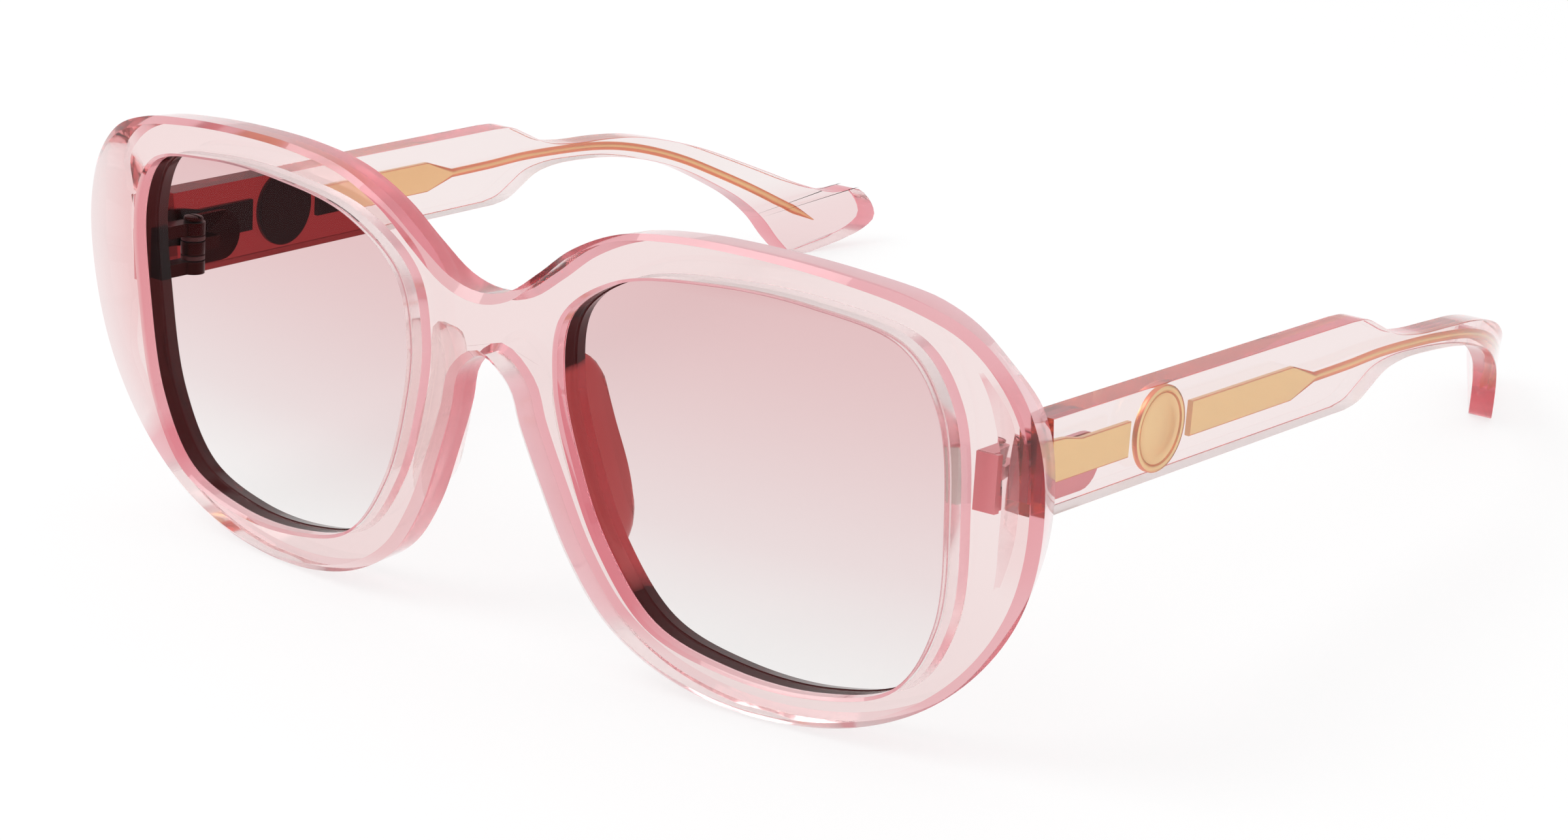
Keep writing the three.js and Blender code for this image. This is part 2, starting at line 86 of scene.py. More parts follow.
RIM_BEVEL_DEPTH = 0.4
GROOVE_FRONT = 1.75
GROOVE_BACK = 4.05
GROOVE_INSET = 0.2
LENS_INSET = 0.3
LENS_FRONT = 1.85

TEMPLE_X = 69.4
TEMPLE_SPLAY = 0.0317
TEMPLE_START = 10.6
TIP_BEND_START = 100
TIP_BEND = 0.0062
TEMPLE_TOP = 6.4
TEMPLE_BOTTOM = -5.0
TEMPLE_UPPER = [
    (76, 6.4), (80, 6.1), (83.6, 4.7), (88.4, 2.8), (94.8, 1.8), (103, 1.4), (110.4, 0.8),
    (117.4, -0.5), (124, -2.3), (130.2, -4.6), (136.2, -7.0), (141.8, -9.3), (147.2, -10.8),
    (150.6, -10.3), (152.6, -12.0), (153.6, -15.0), (152, -17.0), (148.6, -18.9),
]
TEMPLE_LOWER = [
    (76.4, -5.0), (79.8, -4.5), (82.8, -3.1), (86, -1.6), (90.8, -0.9), (98.6, -1.1),
    (106, -1.8), (113.6, -3.3), (120.4, -5.4), (126.6, -8.3), (131.6, -11.2),
    (135.6, -14.6), (138.6, -18.4), (141.2, -20.8), (144, -20.6),
]

CORE_Z = 0.8
CORE_HALF = 2.15
CORE_DEPTH = 0.4
CORE_THICKNESS = 1.2
CORE_START = 10.9
CORE_HEAD_END = 16.5
CORE_HEAD_RISE = 0.8
CORE_LEAN_END = 20
CORE_CORNER = 0.18
CORE_REAR_END = 62.8
MEDALLION_Y = 33.0
MEDALLION_R = 5.2
CORE_GAP_R = 6.9
WIRE_HALF = 0.65
WIRE_PATH = [
    (68.4, 0.6), (77.2, 0.65), (84.8, 0.85), (92.7, 0.65), (100.7, 0.2), (108.5, -0.7),
    (115.6, -2.2), (122.4, -4.3), (128.7, -6.9), (134.8, -9.7), (140.5, -12.7), (146, -15.7),
]

HINGE = Vector((64.15, 11.5, -0.6))
KNUCKLE_R = 1.6
KNUCKLE_HEIGHT = 1.7
KNUCKLE_PITCH = 2.6
SCREW_R = 0.6
SCREW_HEAD_R = 1.3
BORE_R = 0.75
BORE_REACH = 10
WASHER_BORE_R = 0.72
WASHER_HALF = 0.3
LEAF_HALF = 3.4
LEAF_THICKNESS = 1.1
LEAF_IN = 63.6
LEAF_OUT = 66.4
TEMPLE_LEAF_END = 22.5

PAD_HEIGHT = 4.2
PAD_BASE = [
    (8.8, 2.6), (10.6, 2.6), (11.8, -4.4), (14.2, -12.4), (15.6, -18.0), (15.0, -21.2),
    (13.4, -20.4), (10.9, -15.8), (8.7, -9.6), (7.4, -2.4),
]
PAD_CREST = [
    (9.8, -0.8), (10.7, -1.6), (12.3, -6.4), (13.9, -11.6), (14.4, -15.4), (13.9, -17.4),
    (12.9, -16.4), (12.0, -13.2), (11.1, -8.8), (10.1, -4.2),
]

# ---- where the worn pair lies in the frame --------------------------------------------------
FOLD_RIGHT = frame["joints"][0]
TILT = math.atan2(FOLD_RIGHT["axis"][1], FOLD_RIGHT["axis"][2])
TO_FRAME = (
    Matrix.Translation(FOLD_RIGHT["pos_m"])
    @ Matrix.Rotation(-TILT, 4, "X")
    @ Matrix.Scale(0.001, 4)
    @ Matrix.Translation(-HINGE)
)

CAMERA_PLACE = Vector((253.76, -300.44, 108.96))
CAMERA_RIGHT = Vector((0.80283, 0.59254, 0.06563))
CAMERA_BACK = Vector((0.55523, -0.78325, 0.27966))
CAMERA_LENS = 78.98


# ---- curves ---------------------------------------------------------------------------------
def smoothstep(value, low, high):
    t = min(max((value - low) / (high - low), 0.0), 1.0)
    return t * t * (3 - 2 * t)


def spline(points, closed, per_span=16):
    """A centripetal curve through the points, as a list of close points."""
    knots = [Vector(p) for p in points]
    count = len(knots)
    line = []
    for i in range(count if closed else count - 1):
        p1, p2 = knots[i], knots[(i + 1) % count]
        p0 = knots[i - 1] if closed or i > 0 else 2 * p1 - p2
        p3 = knots[(i + 2) % count] if closed or i + 2 < count else 2 * p2 - p1
        t1 = math.sqrt((p1 - p0).length)
        t2 = t1 + math.sqrt((p2 - p1).length)
        t3 = t2 + math.sqrt((p3 - p2).length)
        for k in range(per_span):
            t = t1 + (t2 - t1) * k / per_span
            a1 = p0.lerp(p1, t / t1)
            a2 = p1.lerp(p2, (t - t1) / (t2 - t1))
            a3 = p2.lerp(p3, (t - t2) / (t3 - t2))
            b1 = a1.lerp(a2, t / t2)
            b2 = a2.lerp(a3, (t - t1) / (t3 - t1))
            line.append(b1.lerp(b2, (t - t1) / (t2 - t1)))
    line.append(knots[0].copy() if closed else knots[-1].copy())
    return line


def spaced(line, steps):
    """steps + 1 points at equal distances along a line of points."""
    reach = [0.0]
    for a, b in zip(line, line[1:]):
        reach.append(reach[-1] + (b - a).length)
    found = []
    j = 0
    for i in range(steps + 1):
        want = reach[-1] * i / steps
        while j + 2 < len(reach) and reach[j + 1] < want:
            j += 1
        share = (want - reach[j]) / max(reach[j + 1] - reach[j], 1e-9)
        found.append(line[j].lerp(line[j + 1], min(share, 1.0)))
    return found


def front_face(x, z):
    return FRONT_Y + WRAP * x * x - LEAN * z


def temple_outer(y):
    return TEMPLE_X + TEMPLE_SPLAY * y - TIP_BEND * max(y - TIP_BEND_START, 0) ** 2


def on_front(x, z, depth):
    return Vector((x, front_face(x, z) + depth, z))


def on_temple(y, z, depth):
    return Vector((temple_outer(y) - depth, y, z))


# ---- mesh making ----------------------------------------------------------------------------
def deselect():
    if bpy.context.object and bpy.context.object.mode != "OBJECT":
        bpy.ops.object.mode_set(mode="OBJECT")
    bpy.ops.object.select_all(action="DESELECT")


def activate(obj):
    deselect()
    obj.select_set(True)
    bpy.context.view_layer.objects.active = obj


def named(name):
    obj = bpy.context.object
    obj.name = name
    obj.data.name = name
    return obj


def loft(name, rings, caps=True):
    """A circle placed on the first ring and extruded from ring to ring."""
    deselect()
    bpy.ops.mesh.primitive_circle_add(vertices=len(rings[0]), radius=1.0)
    obj = named(name)
    for vertex, place in zip(obj.data.vertices, rings[0]):
        vertex.co = place
    bpy.ops.object.mode_set(mode="EDIT")
    bpy.ops.mesh.select_all(action="SELECT")
    if caps:
        bpy.ops.mesh.edge_face_add()
    order = list(range(len(rings[0])))
    for ring in rings[1:]:
        bpy.ops.mesh.select_mode(type="EDGE")
        mesh = bmesh.from_edit_mesh(obj.data)
        mesh.verts.ensure_lookup_table()
        bpy.ops.mesh.select_all(action="DESELECT")
        last = [mesh.verts[i] for i in order]
        for a, b in zip(last, last[1:] + last[:1]):
            mesh.edges.get((a, b)).select = True
        mesh.select_flush_mode()
        before = len(mesh.verts)
        bpy.ops.mesh.extrude_edges_move()
        mesh = bmesh.from_edit_mesh(obj.data)
        mesh.verts.ensure_lookup_table()
        mesh.verts.index_update()
        order_now = []
        for i, place in zip(order, ring):
            old = mesh.verts[i]
            fresh = [e.other_vert(old) for e in old.link_edges]
            new = next(v for v in fresh if v.index >= before)
            new.co = place
            order_now.append(new.index)
        order = order_now
    if caps:
        bpy.ops.mesh.edge_face_add()
    bmesh.update_edit_mesh(obj.data)
    bpy.ops.object.mode_set(mode="OBJECT")
    return obj


def merge_outwards(obj, distance=1e-4):
    activate(obj)
    bpy.ops.object.mode_set(mode="EDIT")
    bpy.ops.mesh.select_all(action="SELECT")
    bpy.ops.mesh.remove_doubles(threshold=distance)
    bpy.ops.mesh.normals_make_consistent(inside=False)
    bpy.ops.object.mode_set(mode="OBJECT")


def modify(obj, kind, **settings):
    """Adds a modifier with these settings and applies it."""
    activate(obj)
    bpy.ops.object.modifier_add(type=kind)
    modifier = obj.modifiers[-1]
    for key, value in settings.items():
        setattr(modifier, key, value)
    bpy.ops.object.modifier_apply(modifier=modifier.name)
    return obj


def round_edges(obj, width, segments=3, angle=28):
    return modify(
        obj, "BEVEL", width=width, segments=segments, limit_method="ANGLE",
        angle_limit=math.radians(angle), use_clamp_overlap=True,
    )


def boolean(obj, other, operation):
    modify(obj, "BOOLEAN", object=other, operation=operation, solver="EXACT")
    bpy.data.objects.remove(other)
    return obj


def mirrored_copy(obj, name):
    """A copy with its own mesh, mirrored across the middle of the pair."""
    activate(obj)
    bpy.ops.object.duplicate(linked=False)
    copy = named(name)
    bpy.ops.object.mode_set(mode="EDIT")
    bpy.ops.mesh.select_all(action="SELECT")
    bpy.ops.transform.resize(value=(-1, 1, 1), center_override=(0, 0, 0))
    bpy.ops.mesh.flip_normals()
    bpy.ops.object.mode_set(mode="OBJECT")
    return copy


def polish_feet(obj):
    """Flattens what would reach below the surface that the pair stands on."""
    if min(v.co.z for v in obj.data.vertices) > 0:
        return
    activate(obj)
    bpy.ops.object.mode_set(mode="EDIT")
    bpy.ops.mesh.select_mode(type="VERT")
    bpy.ops.mesh.select_all(action="DESELECT")
    bpy.ops.object.mode_set(mode="OBJECT")
    for vertex in obj.data.vertices:
        vertex.select = vertex.co.z < 0
    bpy.ops.object.mode_set(mode="EDIT")
    bpy.ops.transform.resize(value=(1, 1, 0), center_override=(0, 0, 0))
    bpy.ops.object.mode_set(mode="OBJECT")


def place_piece(obj, body, slot, nodes, look=None):
    """Moves a finished piece from the worn pair to the frame and ties it to its body."""
    merge_outwards(obj)
    obj.data.transform(TO_FRAME)
    polish_feet(obj)
    activate(obj)
    bpy.ops.object.shade_smooth_by_angle(angle=math.radians(35))
    modify(obj, "WEIGHTED_NORMAL", keep_sharp=True, weight=80)
    obj.data.materials.clear()
    obj.data.materials.append(bpy.data.materials[MATERIALS[look or slot]])
    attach(obj, body)
    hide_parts(*nodes)
    return obj


def place_pair(obj, kind, body, slot, look=None):
    """Places a right-hand piece and its mirrored copy. body is a pattern of the side."""
    left = mirrored_copy(obj, kind + "_shell_left")
    obj.name = kind + "_shell_right"
    for piece, side in ((obj, "right"), (left, "left")):
        place_piece(piece, body.format(side), slot, [f"{kind}_{side}"], look)


# ---- front ----------------------------------------------------------------------------------
def half_outline(steps):
    """Right half of the widest outline, from the top of the bridge round to its underside."""
    left = [(-x, z, width) for x, z, width in reversed(OUTLINE[1:-1])]
    per_span = 16
    loop = spline([*OUTLINE, *left], True, per_span)
    half = spaced(loop[: (len(OUTLINE) - 1) * per_span + 1], steps)
    half[0].x = half[-1].x = 0.0
    return half


def inset_half(half, amounts):
    """Moves the half outline inwards; its two ends stay in the middle plane."""
    moved = []
    for i, (point, amount) in enumerate(zip(half, amounts)):
        before = half[i - 1] if i > 0 else Vector((-half[1].x, half[1].y, 0))
        after = half[i + 1] if i + 1 < len(half) else Vector((-half[-2].x, half[-2].y, 0))
        step = Vector((after.x - before.x, after.y - before.y)).normalized()
        moved.append(Vector((point.x + step.y * amount, point.y - step.x * amount)))
    return moved


def with_seam(half, steps):
    return half + [half[-1].lerp(half[0], i / steps) for i in range(1, steps)]


def sideways(loop):
    """Directions across a closed line of points, at each point."""
    across = []
    for before, after in zip(loop[-1:] + loop[:-1], loop[1:] + loop[:1]):
        step = (after - before).normalized()
        across.append(Vector((-step.y, step.x)))
    return across


def opening_towards(ring):
    """For each ring point, the opening's point in that direction and its inward normal."""
    loop = spline(OPENING, True, 40)[:-1]
    centre = Vector(OPENING_CENTRE)
    angles = [math.atan2(p.y - centre.y, p.x - centre.x) for p in loop]
    normals = sideways(loop)
    turns = [math.remainder(b - a, math.tau) for a, b in zip(angles, angles[1:] + angles[:1])]
    found = []
    for point in ring:
        want = math.atan2(point.y - centre.y, point.x - centre.x)
        for i, turn in enumerate(turns):
            share = math.remainder(want - angles[i], math.tau) / turn
            if -1e-9 <= share < 1:
                j = (i + 1) % len(loop)
                found.append((loop[i].lerp(loop[j], share), normals[i].lerp(normals[j], share)))
                break
    inward = 1 if (found[0][1].dot(centre - found[0][0])) > 0 else -1
    return [(place, normal * inward) for place, normal in found]


def wall_draft(x):
    return SIDE_DRAFT + END_DRAFT * smoothstep(abs(x), 58, 70)


def end_rise(z):
    """How far the end pieces, where the temples butt, stand proud behind."""
    return END_RISE * smoothstep(z, -17, -7) * smoothstep(-z, -16, -8)


def front_rings(thickness, steps=168, seam_steps=10):
    half = half_outline(steps)
    widths = [p.z for p in half]
    bevel_depths = [BEVEL_DEPTH_BASE + BEVEL_DEPTH_SLOPE * w for w in widths]
    flat = [Vector((p.x, p.y)) for p in half]
    rises = [end_rise(p.y) if p.x > END_START else 0.0 for p in half]
    leans = [
        wall_draft(p.x) * (thickness + rise - BACK_BEVEL - d)
        for p, d, rise in zip(half, bevel_depths, rises)
    ]

    def seamed(values):
        return values + [values[-1] + (values[0] - values[-1]) * i / seam_steps
                         for i in range(1, seam_steps)]

    def outer(insets, depths):
        ring = with_seam(inset_half(half, insets), seam_steps)
        return ring, seamed(depths)

    face_edge = outer(widths, [0.0] * len(half))
    widest = outer([0.0] * len(half), bevel_depths)
    back_wall = outer(leans, [thickness + r - BACK_BEVEL for r in rises])
    back_edge = outer([n + BACK_BEVEL for n in leans], [thickness + r for r in rises])
    opening = opening_towards(with_seam(flat, seam_steps))

    def inner(inset, depth):
        ring = [place + normal * inset for place, normal in opening]
        return ring, [depth] * len(ring)

    def between(a, b, share, rise_share=0.0):
        places = [p.lerp(q, share) for p, q in zip(a[0], b[0])]
        depths = [b[1][0] + (d - b[1][0]) * rise_share for d in a[1]]
        return places, depths

    opening_back = inner(0, thickness)
    opening_edge = inner(0, 0)
    sections = [
        opening_back,
        inner(RIM_BEVEL, GROOVE_BACK),
        inner(GROOVE_INSET, GROOVE_BACK),
        inner(GROOVE_INSET, GROOVE_FRONT),
        inner(RIM_BEVEL, GROOVE_FRONT),
        inner(RIM_BEVEL, RIM_BEVEL_DEPTH),
        opening_edge,
        between(face_edge, opening_edge, 0.67),
        between(face_edge, opening_edge, 0.33),
        face_edge,
        widest,
        back_wall,
        back_edge,
        between(back_edge, opening_back, 0.42, 1.0),
        between(back_edge, opening_back, 0.50, 0.0),
        opening_back,
    ]
    return [[on_front(p.x, p.y, d) for p, d in zip(*section)] for section in sections]


def drop_middle_faces(obj):
    """Removes what lies in the middle plane, so that the two halves join there."""
    activate(obj)
    bpy.ops.object.mode_set(mode="EDIT")
    bpy.ops.mesh.select_mode(type="FACE")
    bpy.ops.mesh.select_all(action="DESELECT")
    mesh = bmesh.from_edit_mesh(obj.data)
    for face in mesh.faces:
        face.select_set(all(abs(v.co.x) < 1e-5 for v in face.verts))
    bmesh.update_edit_mesh(obj.data)
    bpy.ops.mesh.delete(type="FACE")
    bpy.ops.object.mode_set(mode="OBJECT")


def nose_pad(thickness):
    """One rounded pad, bonded to the back of the rim."""
    base = spaced(spline(PAD_BASE, True), 40)[:-1]
    crest = spaced(spline(PAD_CREST, True), 40)[:-1]
    profile = [(0, 0.015), (0, 0.05), (0.06, 0.3), (0.22, 0.56), (0.42, 0.78), (0.66, 0.93), (1, 1)]
    rings = [
        [
            on_front(*p.lerp(q, share), thickness + PAD_HEIGHT * height)
            for p, q in zip(base, crest)
        ]
        for share, height in profile
    ]
    pad = loft("pad", rings)
    merge_outwards(pad)
    return pad


class SUNGLASSES_OT_front(bpy.types.Operator):
    """Builds the front of the frame with its rims, bridge and end pieces"""

    bl_idname = "sunglasses.front"
    bl_label = "Front"

    def execute(self, context):
        sizes = context.scene.sunglasses_sizes
        thickness = sizes.front_thickness * 1000
        front = loft("front_frame_shell", front_rings(thickness), caps=False)
        merge_outwards(front)
        drop_middle_faces(front)
        modify(front, "MIRROR", use_axis=(True, False, False), use_mirror_merge=True,
               merge_threshold=0.001)
        merge_outwards(front, 0.001)
        round_edges(front, sizes.edge_rounding * 1000)
        place_piece(front, "front", "acetate", ["front_frame"], "front")
        return {"FINISHED"}


class SUNGLASSES_OT_pads(bpy.types.Operator):
    """Builds the two nose pads on the back of the rims"""

    bl_idname = "sunglasses.pads"
    bl_label = "Nose pads"

    def execute(self, context):
        thickness = context.scene.sunglasses_sizes.front_thickness * 1000
        place_pair(nose_pad(thickness), "nose_pad", "front", "acetate", "pad")
        return {"FINISHED"}


# ---- lenses ---------------------------------------------------------------------------------
class SUNGLASSES_OT_lenses(bpy.types.Operator):
    """Builds the two tinted lenses, seated in the grooves of the rims"""

    bl_idname = "sunglasses.lenses"
    bl_label = "Lenses"

    def execute(self, context):
        sizes = context.scene.sunglasses_sizes
        thickness = sizes.lens_thickness * 1000
        loop = spaced(spline(OPENING, True), 128)[:-1]
        centre = Vector(OPENING_CENTRE)
        edge = []
        for point, normal in zip(loop, sideways(loop)):
            inset = LENS_INSET if normal.dot(centre - point) > 0 else -LENS_INSET
            edge.append(point + normal * inset)
        shares = [0.04, 0.12, 0.24, 0.38, 0.52, 0.66, 0.8, 0.92, 1.0]

        def ring(share, depth):
            return [on_front(*centre.lerp(p, share), depth) for p in edge]

        rings = [ring(s, LENS_FRONT) for s in shares]
        rings += [ring(s, LENS_FRONT + thickness) for s in reversed(shares)]
        lens = loft("lens", rings)
        merge_outwards(lens)
        round_edges(lens, 0.15, 2, 60)
        place_pair(lens, "lens", "front", "lens")
        return {"FINISHED"}


# ---- temples --------------------------------------------------------------------------------
def temple_rails():
    """Matching points along the upper and lower edges, from the front to the tip."""
    straight = [(y, TEMPLE_TOP) for y in (24, 40, 56, 68)]
    upper = [Vector((TEMPLE_START - LEAN * TEMPLE_TOP, TEMPLE_TOP))]
    upper += [Vector(p) for p in straight]
    lower = [Vector((TEMPLE_START - LEAN * TEMPLE_BOTTOM, TEMPLE_BOTTOM))]
    lower += [Vector((y, TEMPLE_BOTTOM)) for y, _ in straight]
    upper += spaced(spline(TEMPLE_UPPER, False), 90)
    lower += spaced(spline(TEMPLE_LOWER, False), 90)
    return list(zip(upper, lower))


class SUNGLASSES_OT_temples(bpy.types.Operator):
    """Builds the two acetate temples with their bent, spatula-shaped tips"""

    bl_idname = "sunglasses.temples"
    bl_label = "Temples"

    def execute(self, context):
        sizes = context.scene.sunglasses_sizes
        thickness = sizes.temple_thickness * 1000
        rings = []
        for top, bottom in temple_rails():
            rings.append([
                on_temple(bottom.x, bottom.y, 0),
                on_temple(top.x, top.y, 0),
                on_temple(top.x, top.y, thickness),
                on_temple(bottom.x, bottom.y, thickness),
            ])
        temple = loft("temple", rings)
        merge_outwards(temple)
        round_edges(temple, sizes.temple_rounding * 1000, 4, 40)
        place_pair(temple, "temple", "temple_{}", "acetate", "temple")
        return {"FINISHED"}


# ---- metal cores ----------------------------------------------------------------------------
def bar_section(top, bottom, depth, thickness, corner, per_corner=4):
    """Rounded rectangle as (z, depth) pairs."""
    height = (top - bottom) / 2
    corner = min(corner, height, thickness / 2)
    middle_z = (top + bottom) / 2
    middle_depth = depth + thickness / 2
    points = []
    for quarter in range(4):
        for step in range(per_corner):
            angle = math.radians(90 * (quarter + step / (per_corner - 1)))
            side_z = 1 if quarter in (0, 3) else -1
            side_d = 1 if quarter in (0, 1) else -1
            points.append((
                middle_z + side_z * (height - corner) + corner * math.cos(angle),
                middle_depth + side_d * (thickness / 2 - corner) + corner * math.sin(angle),
            ))
    return points


def hollow_end(z, direction):
    """Where the bar ends on the clear ring round the medallion."""
    return MEDALLION_Y + direction * math.sqrt(CORE_GAP_R**2 - (z - CORE_Z) ** 2)


def front_bar():
    high = CORE_Z + CORE_HALF + CORE_HEAD_RISE
    low = CORE_Z - CORE_HALF
    tops = [(CORE_START, high), (CORE_HEAD_END - 3, high - 0.15),
            (CORE_HEAD_END, CORE_Z + CORE_HALF), (CORE_LEAN_END, CORE_Z + CORE_HALF)]
    rings = []
    for y, top in tops:
        section = bar_section(top, low, CORE_DEPTH, CORE_THICKNESS, CORE_CORNER)
        lean = LEAN * smoothstep(y, CORE_LEAN_END, CORE_START)
        rings.append([on_temple(y - lean * z, z, d) for z, d in section])
    section = bar_section(CORE_Z + CORE_HALF, low, CORE_DEPTH, CORE_THICKNESS, CORE_CORNER)
    rings.append([on_temple(hollow_end(z, -1), z, d) for z, d in section])
    return loft("core_front_bar", rings)


def rear_wire():
    """A flat bar that narrows into a wire, which follows the temple to a point."""
    rings = []
    section = bar_section(CORE_Z + CORE_HALF, CORE_Z - CORE_HALF, CORE_DEPTH, CORE_THICKNESS,
                          CORE_CORNER)
    rings.append([on_temple(hollow_end(z, 1), z, d) for z, d in section])
    rings.append([on_temple(46, z, d) for z, d in section])
    rings.append([on_temple(CORE_REAR_END - 0.4, z, d) for z, d in section])
    rings.append([on_temple(CORE_REAR_END, z, d) for z, d in section])
    path = spaced(spline(WIRE_PATH, False), 70)
    for i, point in enumerate(path):
        before, after = path[max(i - 1, 0)], path[min(i + 1, len(path) - 1)]
        along = (after - before).normalized()
        left = (path[-1] - point).length
        half = WIRE_HALF * min(1.0, 0.12 + left / 4.0)
        middle = CORE_DEPTH + CORE_THICKNESS / 2
        wire = bar_section(half, -half, middle - half, 2 * half, half * 0.98)
        rings.append([
            on_temple(point.x - along.y * z, point.y + along.x * z, d) for z, d in wire
        ])
    return loft("core_rear_wire", rings)


def medallion():
    """A plain round plate with a raised, bevelled rim and a softly domed field."""
    top = CORE_DEPTH - 0.1
    profile = [
        (MEDALLION_R - 0.25, CORE_DEPTH + CORE_THICKNESS), (MEDALLION_R, 1.35),
        (MEDALLION_R, top + 0.3), (MEDALLION_R - 0.12, top + 0.08), (MEDALLION_R - 0.32, top),
        (MEDALLION_R - 0.62, top), (MEDALLION_R - 0.8, top + 0.08), (MEDALLION_R - 0.98, top + 0.4),
        (MEDALLION_R - 1.3, top + 0.46), (3.0, top + 0.36), (2.0, top + 0.29), (1.0, top + 0.25),
        (0.2, top + 0.24),
    ]
    rings = []
    for radius, depth in profile:
        ring = []
        for i in range(72):
            angle = math.tau * i / 72
            ring.append(on_temple(MEDALLION_Y + radius * math.cos(angle),
                                  CORE_Z + radius * math.sin(angle), depth))
        rings.append(ring)
    return loft("medallion", rings)


class SUNGLASSES_OT_cores(bpy.types.Operator):
    """Builds the metal cores inside the temples: front bar, medallion, rear bar and wire"""

    bl_idname = "sunglasses.cores"
    bl_label = "Metal cores"

    def execute(self, context):
        for make, kind in ((front_bar, "core_front_bar"), (rear_wire, "core_rear_wire"),
                           (medallion, "medallion")):
            piece = make()
            merge_outwards(piece)
            place_pair(piece, kind, "temple_{}", "gold")
        return {"FINISHED"}


# ---- hinges ---------------------------------------------------------------------------------
def block(name, low, high, bevel=0.0):
    """A cube set to its two corners."""
    deselect()
    low, high = Vector(low), Vector(high)
    bpy.ops.mesh.primitive_cube_add(size=1.0)
    obj = named(name)
    bpy.ops.object.mode_set(mode="EDIT")
    bpy.ops.mesh.select_all(action="SELECT")
    bpy.ops.transform.resize(value=high - low, center_override=(0, 0, 0))
    bpy.ops.transform.translate(value=(low + high) / 2)
    bpy.ops.object.mode_set(mode="OBJECT")
    if bevel:
        round_edges(obj, bevel, 3)
    return obj


def post(name, radius, bottom, top, sides=48):
    """An upright cylinder on the hinge's axis."""
    deselect()
    bpy.ops.mesh.primitive_cylinder_add(vertices=sides, radius=radius, depth=top - bottom)
    obj = named(name)
    bpy.ops.object.mode_set(mode="EDIT")
    bpy.ops.mesh.select_all(action="SELECT")
    bpy.ops.transform.translate(value=(HINGE.x, HINGE.y, (top + bottom) / 2))
    bpy.ops.object.mode_set(mode="OBJECT")
    return obj


def knuckle_bottom(level):
    return HINGE.z + level * KNUCKLE_PITCH - KNUCKLE_HEIGHT / 2


def knuckle(level):
    bottom = knuckle_bottom(level)
    return post("knuckle", KNUCKLE_R, bottom, bottom + KNUCKLE_HEIGHT)


def drilled(leaf):
    boolean(leaf, post("bore", BORE_R, HINGE.z - BORE_REACH, HINGE.z + BORE_REACH), "DIFFERENCE")
    merge_outwards(leaf, 0.002)
    round_edges(leaf, 0.12, 2, 40)
    return leaf


def front_leaf(thickness):
    back = front_face(HINGE.x, HINGE.z) + thickness
    leaf = block("front_hinge_leaf", (LEAF_IN, back - LEAF_THICKNESS, HINGE.z - LEAF_HALF),
                 (LEAF_OUT, back, HINGE.z + LEAF_HALF))
    for level in (1, -1):
        bottom = knuckle_bottom(level)
        arm = block("arm", (LEAF_IN, back - 0.8, bottom),
                    (HINGE.x + KNUCKLE_R, HINGE.y, bottom + KNUCKLE_HEIGHT))
        boolean(leaf, arm, "UNION")
        boolean(leaf, knuckle(level), "UNION")
    return drilled(leaf)


def temple_leaf(thickness):
    """A round-ended plate let into the temple, with the middle knuckle."""
    start = HINGE.y + KNUCKLE_R + 0.3
    end = TEMPLE_LEAF_END - LEAF_HALF
    outline = [(start, HINGE.z - LEAF_HALF), (start, HINGE.z + LEAF_HALF)]
    for i in range(13):
        angle = math.radians(90 - 15 * i)
        outline.append((end + LEAF_HALF * math.cos(angle), HINGE.z + LEAF_HALF * math.sin(angle)))
    leaf = loft("temple_hinge_leaf", [
        [on_temple(y, z, thickness - LEAF_THICKNESS) for y, z in outline],
        [on_temple(y, z, thickness) for y, z in outline],
    ])
    merge_outwards(leaf)
    inner = temple_outer(HINGE.y) - thickness
    bottom = knuckle_bottom(0)
    arm = block("arm", (HINGE.x, HINGE.y - 0.4, bottom),
                (inner - 0.3, start + 3, bottom + KNUCKLE_HEIGHT))
    root = block("root", (HINGE.x, start + 0.3, bottom),
                 (inner + 0.6, start + 3, bottom + KNUCKLE_HEIGHT))
    boolean(leaf, arm, "UNION")
    boolean(leaf, root, "UNION")
    boolean(leaf, knuckle(0), "UNION")
    return drilled(leaf)


def hinge_screw():
    """A screw with a domed, slotted head."""
    top = knuckle_bottom(1) + KNUCKLE_HEIGHT + 0.12
    profile = [
        (0.35, knuckle_bottom(-1) + 0.05), (SCREW_R, knuckle_bottom(-1) + 0.3), (SCREW_R, top),
        (SCREW_HEAD_R - 0.1, top), (SCREW_HEAD_R, top + 0.1), (SCREW_HEAD_R, top + 0.38),
        (SCREW_HEAD_R - 0.12, top + 0.55), (0.8, top + 0.68), (0.3, top + 0.72),
    ]
    rings = []
    for radius, z in profile:
        ring = []
        for i in range(40):
            angle = math.tau * i / 40
            ring.append(HINGE + Vector((radius * math.cos(angle), radius * math.sin(angle),
                                        z - HINGE.z)))
        rings.append(ring)
    screw = loft("hinge_screw", rings)
    merge_outwards(screw)
    slot = block("slot", (HINGE.x - 2, HINGE.y - 0.17, top + 0.35),
                 (HINGE.x + 2, HINGE.y + 0.17, top + 2))
    return boolean(screw, slot, "DIFFERENCE")


def hinge_washer(level):
    """A thin ring with rounded edges."""
    middle = HINGE.z + level * KNUCKLE_PITCH / 2
    washer = post("hinge_washer", KNUCKLE_R, middle - WASHER_HALF, middle + WASHER_HALF)
    bore = post("bore", WASHER_BORE_R, HINGE.z - BORE_REACH, HINGE.z + BORE_REACH)
    boolean(washer, bore, "DIFFERENCE")
    merge_outwards(washer)
    return round_edges(washer, 0.1, 2, 50)


